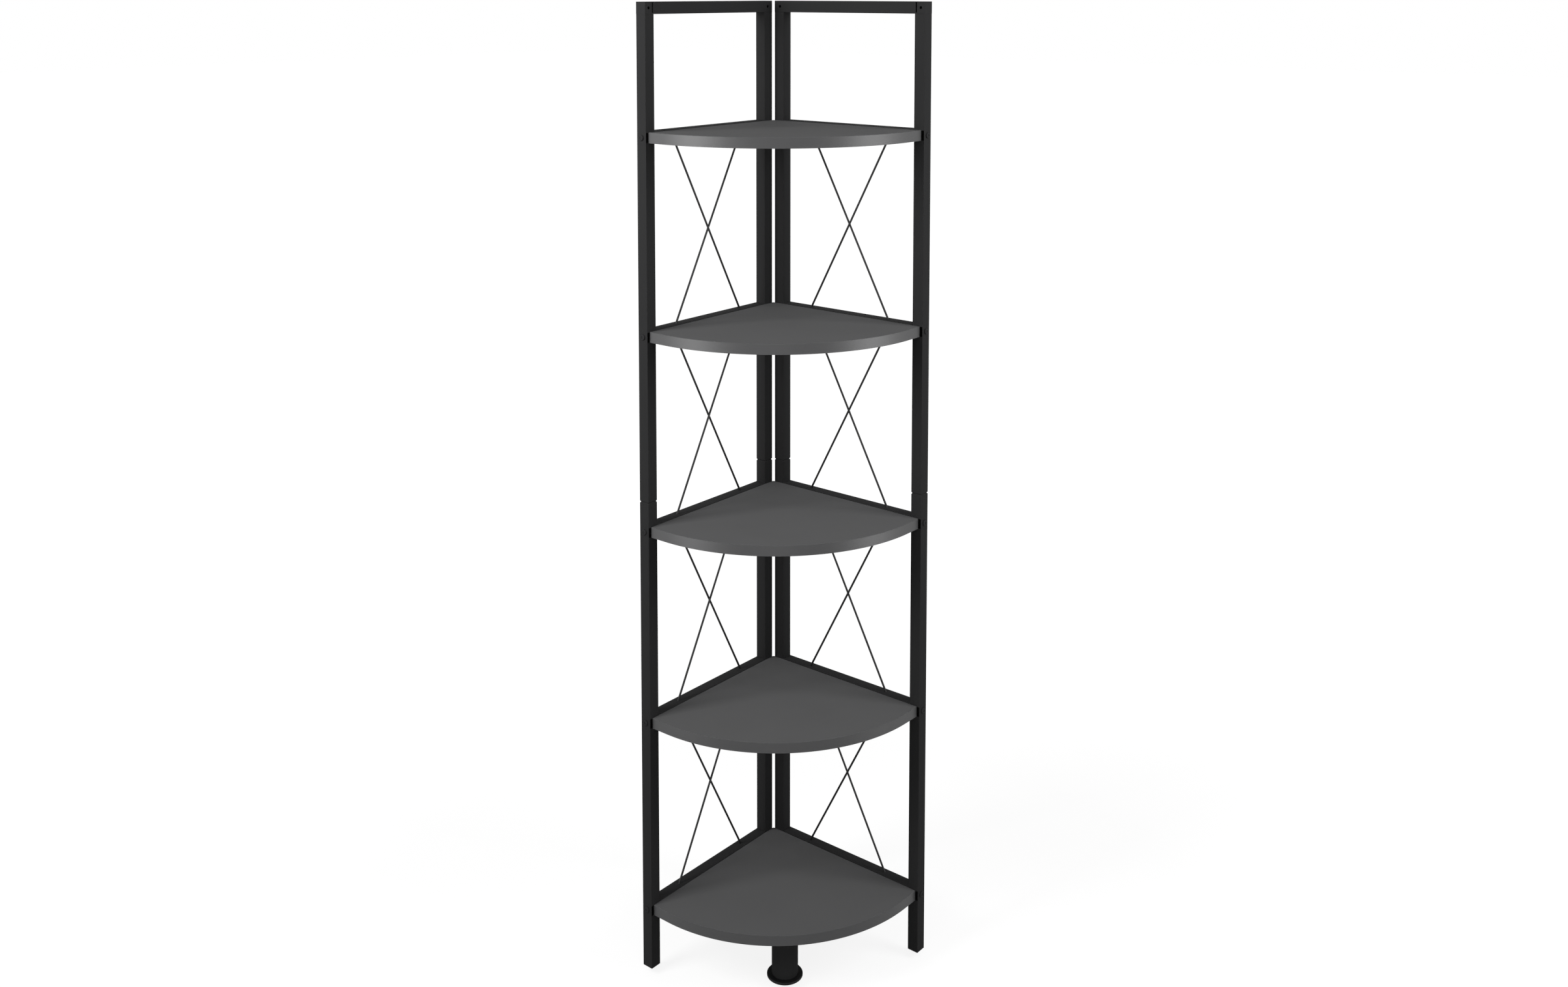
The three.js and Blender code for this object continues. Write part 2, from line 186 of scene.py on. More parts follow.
print("helpers:", Wire.__name__, Tree.__name__)

# %% [markdown]
# ## Surfaces
# Nearly every finish here is dark, so what tells them apart is how they scatter light. Powder
# coat has a faint orange peel, the boards' lacquer a fine dry grain, the plastic a moulded grain
# and the zinc a brushed gleam. Image textures would tie them to a size of piece. Noise on Object
# coordinates sits on the object in metres, so a grain of 1 mm is 1 mm on each piece.


# %% A helper for noise and the shared end of each material
def noise(tree, cell, detail=3.0, stretch=(1, 1, 1)):
    """Noise from 0 to 1 with cells of a size in metres, stretched along the axes."""
    place = tree.node("ShaderNodeTexCoord", output="Object")
    scale = tuple(1 / (cell * factor) for factor in stretch)
    mapped = {"Vector": place, "Scale": scale}
    scaled = tree.node("ShaderNodeMapping", {"vector_type": "POINT"}, mapped)
    return tree.node("ShaderNodeTexNoise", None, {"Vector": scaled, "Scale": 1.0, "Detail": detail})


def between(tree, factor, dark, light):
    """A colour that runs from dark to light with a factor."""
    mix = {"data_type": "RGBA"}
    return tree.node("ShaderNodeMix", mix, {0: factor, 6: (*dark, 1), 7: (*light, 1)}, output=2)


def surface(name, build, **constants):
    """A Principled material. build gives the values that change over the surface."""
    material = bpy.data.materials.new(name)
    material.use_nodes = True
    tree = Tree(material.node_tree)
    values = {key.replace("_", " "): value for key, value in constants.items()}
    values.update(build(tree))
    shader = tree.node("ShaderNodeBsdfPrincipled", None, values)
    tree.node("ShaderNodeOutputMaterial", None, {"Surface": shader})
    return material


def bumped(tree, height, strength, distance):
    """A normal that is tipped by a height from 0 to 1, as deep as a distance in metres."""
    values = {"Height": height, "Strength": strength, "Distance": distance}
    return tree.node("ShaderNodeBump", None, values)


print("noise cells are in metres")

# %% [markdown]
# ### Powder coat
# The frame's tubes, rods and plates are powder coated in a satin anthracite. The powder flows out
# into shallow waves about 1.6 mm apart. Its colour wanders by a few per cent between thick and
# thin places. A second, finer noise gives the speckle that keeps broad faces from looking like
# plastic. The thin rods have a smoother coat, since they gleam more than the tubes in the
# picture.

# %% Powder coat for the frame
COAT_DARK = (0.0165, 0.0165, 0.0168)
COAT_LIGHT = (0.022, 0.022, 0.0224)
COAT_WAVE = 1.6 * MM
COAT_SPECKLE = 0.35 * MM
COAT_CLOUD = 60 * MM


def powder_coat(tree):
    cloud = noise(tree, COAT_CLOUD, detail=2.0)
    speckle = noise(tree, COAT_SPECKLE, detail=2.0)
    wave = noise(tree, COAT_WAVE, detail=1.0)
    tone = (0.6 * cloud + 0.4 * speckle).clamped()
    return {
        "Base Color": between(tree, tone, COAT_DARK, COAT_LIGHT),
        "Roughness": 0.76 + 0.1 * cloud + 0.06 * speckle,
        "Normal": bumped(tree, 0.8 * wave + 0.2 * speckle, strength=0.05, distance=0.1 * MM),
    }


def rod_coat(tree):
    values = powder_coat(tree)
    values["Roughness"] = 0.34 + 0.1 * noise(tree, COAT_SPECKLE, detail=2.0)
    return values


coat = surface("satin_powder_coat", powder_coat, Specular_IOR_Level=0.045)
thin_coat = surface("thin_powder_coat", rod_coat, Specular_IOR_Level=0.14)
print(coat.name, len(coat.node_tree.nodes), "nodes", thin_coat.name)

# %% [markdown]
# ### Lacquered board
# The boards are much lighter than the frame, a flat mid grey. Their faces carry a dry, very fine
# grain, and the band round the edge is smoother, because it is a separate strip. Two materials
# share one recipe with different grains, and a board's upright faces get the second.

# %% Board face and edge band
BOARD_DARK = (0.074, 0.074, 0.075)
BOARD_LIGHT = (0.09, 0.09, 0.091)
BAND_DARK = (0.039, 0.039, 0.04)
BAND_LIGHT = (0.047, 0.047, 0.048)
BOARD_CLOUD = 90 * MM
BOARD_GRAIN = 0.3 * MM
BAND_GRAIN = 0.6 * MM


def lacquer(dark, light, grain_cell, grain_share, rough):
    """The recipe that the boards' faces and their edge bands share."""

    def build(tree):
        cloud = noise(tree, BOARD_CLOUD, detail=3.0)
        grain = noise(tree, grain_cell, detail=2.0)
        tone = ((1 - grain_share) * cloud + grain_share * grain).clamped()
        return {
            "Base Color": between(tree, tone, dark, light),
            "Roughness": rough + 0.08 * grain,
            "Normal": bumped(tree, grain, strength=0.1, distance=0.06 * MM),
        }

    return build


face_lacquer = lacquer(BOARD_DARK, BOARD_LIGHT, BOARD_GRAIN, grain_share=0.5, rough=0.82)
band_lacquer = lacquer(BAND_DARK, BAND_LIGHT, BAND_GRAIN, grain_share=0.25, rough=0.4)
board_face = surface("board_face", face_lacquer, Specular_IOR_Level=0.035)
board_band = surface("board_edge_band", band_lacquer, Specular_IOR_Level=0.32)
print(board_face.name, board_band.name)

# %% [markdown]
# ### Plastic, blackened bolts, zinc and painted shade
# The foot caps, the leg's plug and the foot's pad are moulded in black plastic with a fine spark
# grain. The bolts are blackened steel, smoother than the paint. The stem, the joiners and the
# screws are zinc plated, with a faint mottle from the bath. The painted shade on the strips beside
# the boards' tips is the darkest colour of all.

# %% Small finishes and the painted shade
PLASTIC_DARK = (0.0035, 0.0035, 0.0037)
PLASTIC_LIGHT = (0.006, 0.006, 0.0062)
# Painted shade: the near-black of the strips that stand in for the shadow beside each board's tip.
SHADE_STRIP_DARK = (0.0008, 0.0008, 0.0008)
SHADE_STRIP_LIGHT = (0.0016, 0.0016, 0.0016)
BOLT_DARK = (0.0125, 0.0125, 0.013)
BOLT_LIGHT = (0.019, 0.019, 0.0195)
ZINC_DARK = (0.3, 0.31, 0.33)
ZINC_LIGHT = (0.44, 0.45, 0.47)
PLASTIC_GRAIN = 0.25 * MM
SHADE_NOISE_CELL = 0.6 * MM
BOLT_PATCH = 2.5 * MM
ZINC_MOTTLE = 1.8 * MM
ZINC_BRUSH = 0.2 * MM
BRUSH_STRETCH = (1, 1, 12)


def moulded(tree):
    grain = noise(tree, PLASTIC_GRAIN, detail=2.0)
    return {
        "Base Color": between(tree, grain, PLASTIC_DARK, PLASTIC_LIGHT),
        "Roughness": 0.5 + 0.12 * grain,
        "Normal": bumped(tree, grain, strength=0.15, distance=0.05 * MM),
    }


# Painted shade: a near-black whose noise only varies it a little, for the strips beside the tips.
def painted_shade_tone(tree):
    shade_noise = noise(tree, SHADE_NOISE_CELL, detail=2.0)
    return {
        "Base Color": between(tree, shade_noise, SHADE_STRIP_DARK, SHADE_STRIP_LIGHT),
        "Roughness": 0.85 + 0.1 * shade_noise,
    }


def blackened(tree):
    patch = noise(tree, BOLT_PATCH, detail=3.0)
    return {
        "Base Color": between(tree, patch, BOLT_DARK, BOLT_LIGHT),
        "Roughness": 0.6 + 0.15 * patch,
        "Normal": bumped(tree, patch, strength=0.05, distance=0.05 * MM),
    }


def zinc_plated(tree):
    mottle = noise(tree, ZINC_MOTTLE, detail=3.0)
    brushed = noise(tree, ZINC_BRUSH, detail=2.0, stretch=BRUSH_STRETCH)
    return {
        "Base Color": between(tree, mottle, ZINC_DARK, ZINC_LIGHT),
        "Roughness": 0.25 + 0.15 * mottle,
        "Normal": bumped(tree, brushed, strength=0.08, distance=0.03 * MM),
    }


plastic = surface("grained_black_plastic", moulded, Specular_IOR_Level=0.1)
# The painted shade's material, put on the strips beside the boards' tips.
shade_strip_finish = surface("black_rubber", painted_shade_tone, Specular_IOR_Level=0.02)
bolt_steel = surface("blackened_steel", blackened, Specular_IOR_Level=0.06)
zinc = surface("zinc_plating", zinc_plated, Metallic=1.0)
print(plastic.name, shade_strip_finish.name, bolt_steel.name, zinc.name)

# %% [markdown]
# ## Tubes, bars and caps
# The CAD solids of these pieces have the right holes and joints, but their edges are knife sharp
# and their round corners are made of two flats. Modelling them again would only repeat the holes.
# So a copy of each mesh is merged, its flat triangles are joined, its cut edges get a small
# bevel, and the corners that run along the tube are shaded smooth, as rolled steel is.

# %% Refine a copy of a CAD piece
MERGE_DISTANCE = 0.005 * MM
FLAT_ANGLE = math.radians(0.4)
CUT_ANGLE = math.radians(28)
BEVEL_ANGLE = math.radians(60)
ROLLED_COSINE = 0.999
TUBE_BEVEL = 0.25 * MM
UP = Vector((0, 0, 1))


def merged_copy(node):
    """A CAD mesh with its points merged and its flat triangles joined."""
    shape = bmesh.new()
    shape.from_mesh(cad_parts[node].data)
    bmesh.ops.remove_doubles(shape, verts=shape.verts, dist=MERGE_DISTANCE)
    bmesh.ops.dissolve_limit(shape, angle_limit=FLAT_ANGLE, verts=shape.verts, edges=shape.edges)
    return shape


def mark_edges(shape, along):
    """Smooth every face; keep an edge crisp unless it runs along the rolled direction."""
    for face in shape.faces:
        face.smooth = True
    for edge in shape.edges:
        angle = edge.calc_face_angle(0)
        run = (edge.verts[1].co - edge.verts[0].co).normalized()
        rolled = along is not None and abs(run.dot(along)) > ROLLED_COSINE
        edge.smooth = rolled or angle < CUT_ANGLE


def add_piece(name, mesh, body, materials):
    """Puts a mesh in the scene, on a body, with the given materials in its slots."""
    piece = bpy.data.objects.new(name, mesh)
    bpy.context.collection.objects.link(piece)
    mesh.materials.clear()
    for material in materials:
        mesh.materials.append(material)
    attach(piece, body)
    return piece


def soften(piece, width, segments=2):
    """Rounds the sharp edges of a piece."""
    bevel = piece.modifiers.new("edge_bevel", "BEVEL")
    bevel.width = width
    bevel.segments = segments
    bevel.limit_method = "ANGLE"
    bevel.angle_limit = BEVEL_ANGLE
    bevel.harden_normals = True
    bevel.use_clamp_overlap = True


def drawn_out(shape, along, below, above):
    """Moves the ends of a piece outwards by a fraction of a millimetre, to touch what they meet."""
    lows = min(point.co.dot(along) for point in shape.verts)
    highs = max(point.co.dot(along) for point in shape.verts)
    for point in shape.verts:
        place = point.co.dot(along)
        if place < lows + MERGE_DISTANCE:
            point.co -= along * below
        elif place > highs - MERGE_DISTANCE:
            point.co += along * above


def refine(node, name, along, material, reach=(0, 0)):
    """Replaces a CAD piece of the unit with a copy that has softer edges and a finish."""
    shape = merged_copy(node)
    drawn_out(shape, along, *reach)
    mark_edges(shape, along)
    mesh = bpy.data.meshes.new(name)
    shape.to_mesh(mesh)
    shape.free()
    piece = add_piece(name, mesh, UNIT, [material])
    soften(piece, TUBE_BEVEL)
    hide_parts(node)
    return piece


def coated(node, along=UP, reach=(0, 0)):
    """A refined copy in powder coat, drawn out below and above by its reach."""
    return refine(node, f"{node}.coated", along, coat, reach)


def moulded_copy(node):
    """A refined copy in black plastic."""
    return refine(node, f"{node}.moulded", UP, plastic)


RUN = {"left": Vector((0, 1, 0)), "right": Vector((1, 0, 0))}
SEAT_REACH = {"lower": (0.28 * MM, 0.13 * MM), "upper": (0.13 * MM, 0.28 * MM)}
refined = []
for side in SIDES:
    for place in ("front", "rear"):
        for part, reach in SEAT_REACH.items():
            refined.append(coated(f"{side}_{place}_{part}_post", reach=reach))
        refined.append(moulded_copy(f"{side}_{place}_foot_cap"))
    refined.append(coated(f"{side}_top_bar", RUN[side]))
    for level in LEVELS:
        refined.append(coated(f"{side}_rail_{level}", RUN[side]))
print(len(refined), "tube pieces refined")

# %% [markdown]
# ## Pieces inside the tubes
# The joiners and spigots are hidden, but an opened-out view or a cut shows them. They keep their
# CAD meshes and only get a finish in each material slot.

# %% Finish what stays as it is
for name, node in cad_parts.items():
    if name.endswith("_post_joiner"):
        finish = zinc
    elif name.endswith("_bar_spigot"):
        finish = coat
    else:
        continue
    for slot in node.material_slots:
        slot.material = finish
print("hidden pieces finished")

# %% [markdown]
# ## Geometry Nodes, built in the script
# What repeats, or follows a rule, is made by Geometry Nodes: the boards, the braces, the bolts,
# the strips of painted shade, the screws and the threaded stem. Each tree gets named inputs for its
# sizes.
# A helper opens a tree with those inputs, and another puts the tree on an object, sets the inputs
# by their identifiers, and turns the result into a plain mesh.

# %% Helpers for Geometry Nodes
SOCKET_KINDS = {float: "NodeSocketFloat", int: "NodeSocketInt", tuple: "NodeSocketVector"}


class GeometryTree(Tree):
    """A Geometry Nodes tree with named inputs, given as a dict of names and values."""

    def __init__(self, name, inputs):
        group = bpy.data.node_groups.new(name, "GeometryNodeTree")
        super().__init__(group)
        group.interface.new_socket("Geometry", in_out="INPUT", socket_type="NodeSocketGeometry")
        group.interface.new_socket("Geometry", in_out="OUTPUT", socket_type="NodeSocketGeometry")
        for title, value in inputs.items():
            kind = SOCKET_KINDS[type(value)]
            made = group.interface.new_socket(title, in_out="INPUT", socket_type=kind)
            made.default_value = value
        self.group = group
        self.start = self.node("NodeGroupInput")

    def given(self, name):
        return self.start.other(name)

    def end(self, geometry, material):
        whole = self.node("GeometryNodeRealizeInstances", None, {0: geometry})
        values = {"Geometry": whole, "Material": material}
        painted = self.node("GeometryNodeSetMaterial", None, values)
        self.node("NodeGroupOutput", None, {0: painted})

    def vector(self, x, y, z):
        return self.node("ShaderNodeCombineXYZ", None, {0: x, 1: y, 2: z})

    def raised(self, geometry, height):
        values = {"Geometry": geometry, "Translation": self.vector(0.0, 0.0, height)}
        return self.node("GeometryNodeTransform", None, values)

    def joined(self, *pieces):
        return self.node("GeometryNodeJoinGeometry", None, {"Geometry": list(pieces)})

    def copied(self, points, piece, **extras):
        values = {"Points": points, "Instance": piece, **extras}
        return self.node("GeometryNodeInstanceOnPoints", None, values)

    def cylinder(self, facets, radius, length, **extras):
        values = {"Vertices": facets, "Radius": radius, "Depth": length, **extras}
        return self.node("GeometryNodeMeshCylinder", {"fill_type": "NGON"}, values)


def grow(tree, name, points=(), **inputs):
    """Runs a tree on points and returns the result as a plain mesh."""
    seed = bpy.data.meshes.new(name)
    seed.from_pydata([tuple(point) for point in points], [], [])
    holder = bpy.data.objects.new(name + "_seed", seed)
    bpy.context.collection.objects.link(holder)
    modifier = holder.modifiers.new("grow", "NODES")
    modifier.node_group = tree.group
    for item in tree.group.interface.items_tree:
        key = item.name.replace(" ", "_").lower()
        if item.in_out == "INPUT" and key in inputs:
            modifier[item.identifier] = inputs[key]
    graph = bpy.context.evaluated_depsgraph_get()
    mesh = bpy.data.meshes.new_from_object(holder.evaluated_get(graph), depsgraph=graph)
    mesh.name = name
    holder.modifiers.clear()
    bpy.data.objects.remove(holder)
    return mesh


print("inputs can be:", [kind.__name__ for kind in SOCKET_KINDS])

# %% [markdown]
# ## The boards
# Seen from above, a board is a square of 315 mm with its outer corner rounded so widely that only
# short straight tips are left, and its inner corner just broken. That is a rule, so the tree
# starts from a square, fillets each corner by its own radius, fills it and pulls it up. Drawing
# the outline by hand would lose the exact tangents that make the curve look machined.

# %% The board's tree
BOARD_INPUTS = {
    "Reach": 335 * MM,
    "Side": 20.3 * MM,
    "Tip": 31.7 * MM,
    "Rear Radius": 4 * MM,
    "Thickness": 17.5 * MM,
    "Bottom": 0.0,
    "Front Points": 96,
    "Rear Points": 8,
}
BOARD_MERGE = 0.01 * MM
board_tree = GeometryTree("quarter_round_board", BOARD_INPUTS)


def build_board(tree):
    reach, side, tip = tree.given("Reach"), tree.given("Side"), tree.given("Tip")
    corners = {
        "Point 1": tree.vector(side, -1 * side, 0.0),
        "Point 2": tree.vector(side, -1 * reach, 0.0),
        "Point 3": tree.vector(reach, -1 * reach, 0.0),
        "Point 4": tree.vector(reach, -1 * side, 0.0),
    }
    square = tree.node("GeometryNodeCurvePrimitiveQuadrilateral", {"mode": "POINTS"}, corners)
    index = tree.node("GeometryNodeInputIndex")
    rear = 1 - (index > 0.5)
    outer = (index > 1.5) * (1 - (index > 2.5))
    radius = rear * tree.given("Rear Radius") + outer * (reach - side - tip)
    count = 1 + rear * tree.given("Rear Points") + outer * tree.given("Front Points")
    fillet = {"Curve": square, "Radius": radius, "Count": count}
    outline = tree.node("GeometryNodeFilletCurve", {"mode": "POLY"}, fillet)
    flat = tree.node("GeometryNodeFillCurve", {"mode": "NGONS"}, {"Curve": outline})
    pull = {"Mesh": flat, "Offset": tree.vector(0.0, 0.0, 1.0), "Individual": False}
    pull["Offset Scale"] = tree.given("Thickness")
    pulled = tree.node("GeometryNodeExtrudeMesh", {"mode": "FACES"}, pull)
    under = tree.node("GeometryNodeFlipFaces", None, {"Mesh": flat})
    merging = {"Geometry": tree.joined(pulled, under), "Distance": BOARD_MERGE}
    welded = tree.node("GeometryNodeMergeByDistance", None, merging)
    tree.end(tree.raised(welded, tree.given("Bottom")), board_face)


build_board(board_tree)
print(board_tree.group.name, len(board_tree.group.nodes), "nodes")

# %% [markdown]
# Fillet Curve can leave the outline running either way round, so the faces of a grown mesh are
# turned outwards once it is plain. The board's cut edges get a 0.3 mm round in the face's dull
# finish, as on edge banding that is trimmed and broken with fine paper, so no bright line runs
# along them.

# %% Make the five boards
BOARD_ROUND = 0.3 * MM
UPRIGHT_BELOW = 0.5


def outward(mesh):
    """Turns the faces of a mesh outwards and keeps its sharp edges crisp."""
    shape = bmesh.new()
    shape.from_mesh(mesh)
    bmesh.ops.recalc_face_normals(shape, faces=shape.faces)
    mark_edges(shape, None)
    shape.to_mesh(mesh)
    shape.free()
    return mesh


boards = []
for level in LEVELS:
    node = f"shelf_board_{level}"
    low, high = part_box(node)
    mesh = grow(
        board_tree,
        f"quarter_round_board_{level}",
        reach=high.x - corner.x,
        side=low.x - corner.x,
        thickness=high.z - low.z,
        bottom=low.z,
    )
    mesh.transform(Matrix.Translation(corner))
    board = add_piece(mesh.name, outward(mesh), UNIT, [board_face, board_band])
    for face in mesh.polygons:
        upright = abs(face.normal.z) < UPRIGHT_BELOW
        face.material_index = 1 if upright else 0
    soften(board, BOARD_ROUND, segments=3)
    board.modifiers["edge_bevel"].material = 0
    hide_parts(node)
    boards.append(board)
print(len(boards), "boards of", len(boards[0].data.vertices), "points")

# %% [markdown]
# ## The crossed rods
# Each bay of a frame is braced by two 3.5 mm rods that cross and are spot welded where they
# touch. Their axes are only half a rod apart, because the weld presses them together. The X
# repeats in every bay, so it is made once from two lines and a circle and set on a line of four
# points.

# %% The brace's tree
BRACE_INPUTS = {
    "Low Z": 0.0,
    "High Z": 0.3,
    "Rear Run": 100 * MM,
    "Front Run": 262.5 * MM,
    "Rod Diameter": 3.5 * MM,
    "Rod Entry": 6 * MM,
    "Offset": 0.875 * MM,
    "Bay Count": 4,
    "Bay Pitch": 325.6 * MM,
    "Rod Facets": 20,
}
WELD_STRETCH = (1.0, 1.0, 1.35)
brace_tree = GeometryTree("crossed_rods", BRACE_INPUTS)


def build_brace(tree):
    low, high = tree.given("Low Z"), tree.given("High Z")
    rear, front = tree.given("Rear Run"), tree.given("Front Run")
    radius = tree.given("Rod Diameter") / 2
    length = ((front - rear) * (front - rear) + (high - low) * (high - low)).root()
    reach_run = tree.given("Rod Entry") * (front - rear) / length
    reach_rise = tree.given("Rod Entry") * (high - low) / length
    circle = {"Resolution": tree.given("Rod Facets"), "Radius": radius}
    section = tree.node("GeometryNodeCurvePrimitiveCircle", None, circle)

    def rod(foot_run, head_run, reach, depth):
        foot = tree.vector(foot_run - reach, depth, low - reach_rise)
        head = tree.vector(head_run + reach, depth, high + reach_rise)
        line = tree.node("GeometryNodeCurvePrimitiveLine", None, {"Start": foot, "End": head})
        swept = {"Curve": line, "Profile Curve": section, "Fill Caps": True}
        return tree.node("GeometryNodeCurveToMesh", None, swept)

    offset = tree.given("Offset")
    leaning_out = rod(rear, front, reach_run, offset)
    leaning_in = rod(front, rear, -1 * reach_run, -1 * offset)
    middle = tree.vector((rear + front) / 2, 0.0, (low + high) / 2)
    ball = {"Segments": 16, "Rings": 10, "Radius": radius}
    bead = tree.node("GeometryNodeMeshUVSphere", None, ball)
    stretched = {"Geometry": bead, "Translation": middle, "Scale": WELD_STRETCH}
    weld = tree.node("GeometryNodeTransform", None, stretched)
    cross = tree.joined(leaning_out, leaning_in, weld)
    step = tree.vector(0.0, 0.0, tree.given("Bay Pitch"))
    line = {"Count": tree.given("Bay Count"), "Offset": step}
    bays = tree.node("GeometryNodeMeshLine", None, line)
    tree.end(tree.copied(bays, cross), thin_coat)


build_brace(brace_tree)
print(brace_tree.group.name, len(brace_tree.group.nodes), "nodes")

# %% [markdown]
# The tree works in the frame's own plane: X runs from the room's corner and Y is the depth, with
# the room on +Y. For the left frame the plane is turned onto the wall at -X, and for the right
# frame it is mirrored onto the wall at +Y. The rod that leans towards the corner lies in front on
# the left, and behind on the right, as in the picture, so the offset changes sign.

# %% Make the braces of both frames
TUBE = 20 * MM
frame_planes = {
    "left": Matrix(((0, 1, 0, corner.x), (-1, 0, 0, corner.y), (0, 0, 1, 0), (0, 0, 0, 1))),
    "right": Matrix(((1, 0, 0, corner.x), (0, -1, 0, corner.y), (0, 0, 1, 0), (0, 0, 0, 1))),
}
for side, lean in (("left", -1), ("right", 1)):
    rail_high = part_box(f"{side}_rail_1")[1].z
    next_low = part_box(f"{side}_rail_2")[0].z
    mesh = grow(
        brace_tree,
        f"{side}_crossed_rods",
        low_z=rail_high,
        high_z=next_low,
        offset=lean * BRACE_INPUTS["Offset"],
        bay_pitch=next_low + TUBE - rail_high,
    )
    mesh.transform(Matrix.Translation((0, TUBE / 2, 0)))
    mesh.transform(frame_planes[side])
    rods = add_piece(mesh.name, outward(mesh), UNIT, [thin_coat])
    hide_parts(*[f"{side}_cross_brace_{bay}" for bay in range(1, 5)])
    print(rods.name, [round(value, 3) for value in rods.dimensions])

# %% [markdown]
# ## The bolts
# Button-head bolts hold the rails between the posts, ten from the front and ten from behind. The
# rear ones have no solid in the CAD model, which would have run out of pieces. The head is a disc
# whose points are raised along a quarter ellipse, with a hexagon cut into it. Each bolt stops at
# its own angle when it is tightened, so the hexagon is turned by a random angle with a fixed
# seed.

# %% The bolt's tree
BOLT_INPUTS = {
    "Head Diameter": 10 * MM,
    "Head Height": 1.9 * MM,
    "Rim": 0.6 * MM,
    "Flat Diameter": 6 * MM,
    "Shank Diameter": 6 * MM,
    "Shank Length": 32 * MM,
    "Socket Width": 4.6 * MM,
    "Socket Depth": 0.6 * MM,
    "Seed": 3,
}
HEXAGON = 6
HEAD_FACETS = 36
HEAD_RINGS = 9
BOLT_FACETS = 24
bolt_tree = GeometryTree("button_head_bolt", BOLT_INPUTS)


def domed_head(tree):
    """A disc on z = 0 whose rim rises in a quarter ellipse to a flat top."""
    radius, flat = tree.given("Head Diameter") / 2, tree.given("Flat Diameter") / 2
    height, rim = tree.given("Head Height"), tree.given("Rim")
    rings = {"Side Segments": 1, "Fill Segments": HEAD_RINGS}
    body = tree.cylinder(HEAD_FACETS, radius, rim, **rings)
    placed = tree.raised(body, rim / 2)
    place = tree.node("GeometryNodeInputPosition")
    parts = tree.node("ShaderNodeSeparateXYZ", None, {0: place}, output="Z")
    across = (parts.other("X") * parts.other("X") + parts.other("Y") * parts.other("Y")).root()
    share = ((across - flat) / (radius - flat)).clamped()
    rise = (height - rim) * (1 - share * share).clamped().root() * (parts > rim / 2)
    lifted = {"Geometry": placed, "Offset": tree.vector(0.0, 0.0, rise)}
    return tree.node("GeometryNodeSetPosition", None, lifted)


def fasten(tree, cutters, facets, widest_turn, material):
    """Cuts the drive, adds the shank and sets the fastener on each point at its own angle."""
    drives = [tree.raised(cutter, tree.given("Head Height")) for cutter in cutters]
    cut = {"operation": "DIFFERENCE", "solver": "EXACT"}
    solids = {"Mesh 1": domed_head(tree), "Mesh 2": drives}
    head = tree.node("GeometryNodeMeshBoolean", cut, solids)
    length = tree.given("Shank Length")
    shank = tree.cylinder(facets, tree.given("Shank Diameter") / 2, length)
    whole = tree.joined(head, tree.raised(shank, -0.5 * length))
    turn = {"Min": 0.0, "Max": widest_turn, "Seed": tree.given("Seed")}
    angle = tree.node("FunctionNodeRandomValue", {"data_type": "FLOAT"}, turn, output=1)
    euler = {"Euler": tree.vector(0.0, 0.0, angle)}
    spin = tree.node("FunctionNodeEulerToRotation", None, euler)
    tree.end(tree.copied(tree.start, whole, Rotation=spin), material)


def build_bolt(tree):
    width, depth = tree.given("Socket Width"), tree.given("Socket Depth")
    prism = tree.cylinder(HEXAGON, width / 2, 2 * depth)
    fasten(tree, [prism], BOLT_FACETS, 2 * math.pi / HEXAGON, bolt_steel)


build_bolt(bolt_tree)
print(bolt_tree.group.name, len(bolt_tree.group.nodes), "nodes")

# %% [markdown]
# A bolt is grown standing up, on points that hold its height in X. One quarter turn about Y then
# lays a whole column of bolts along the frame, heads to the front or to the back.

# %% Make the front and rear bolts
FRAME_REACH = 340 * MM
REAR_POST_RUN = 23.3 * MM
SEAT_GAP = 0.3 * MM


def middle_height(node):
    low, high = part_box(node)
    return (low.z + high.z) / 2


bolt_levels = [middle_height(f"left_rail_{level}") for level in LEVELS]
columns = {
    "front": (-1, FRAME_REACH + SEAT_GAP),
    "rear": (1, SEAT_GAP - REAR_POST_RUN),
}
for side in SIDES:
    for place, (lean, seat) in columns.items():
        points = [(lean * height, TUBE / 2, seat) for height in bolt_levels]
        mesh = grow(bolt_tree, f"{side}_{place}_bolts", points)
        mesh.transform(Matrix.Rotation(math.radians(-90 * lean), 4, "Y"))
        mesh.transform(frame_planes[side])
        bolts = add_piece(mesh.name, outward(mesh), UNIT, [bolt_steel])
        if place == "front":
            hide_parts(*[f"{side}_front_bolt_{level}" for level in range(1, 6)])
        print(bolts.name, len(mesh.polygons), "faces")

# %% [markdown]
# ## Painted shade beside the boards' tips
# Each tip stops 5 mm short of the post's outer face. The strip of the post's inner face in front of
# the tip lies in shade there, black and as tall as the board at all ten tips, while the post above
# and below stays grey. That shade is painted: a thin black strip, as tall as the board, is laid on
# the post there. It is a plain cuboid, and one tree sets a copy of it at each point of a frame.

# %% Make the strips of painted shade
STRIP_INPUTS = {"Width": 4.6 * MM, "Thickness": 0.35 * MM, "Height": 16.3 * MM}
TIP_GAP = 0.1 * MM
strip_tree = GeometryTree("buffer_strip", STRIP_INPUTS)


def build_strip(tree):
    size = tree.vector(tree.given("Width"), tree.given("Thickness"), tree.given("Height"))
    block = tree.node("GeometryNodeMeshCube", None, {"Size": size})
    tree.end(tree.copied(tree.start, block), shade_strip_finish)


build_strip(strip_tree)
board_tip = corner.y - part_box("shelf_board_1")[0].y
strip_run = board_tip + TIP_GAP + STRIP_INPUTS["Width"] / 2
strip_depth = TUBE + STRIP_INPUTS["Thickness"] / 2
board_middles = [middle_height(f"shelf_board_{level}") for level in LEVELS]
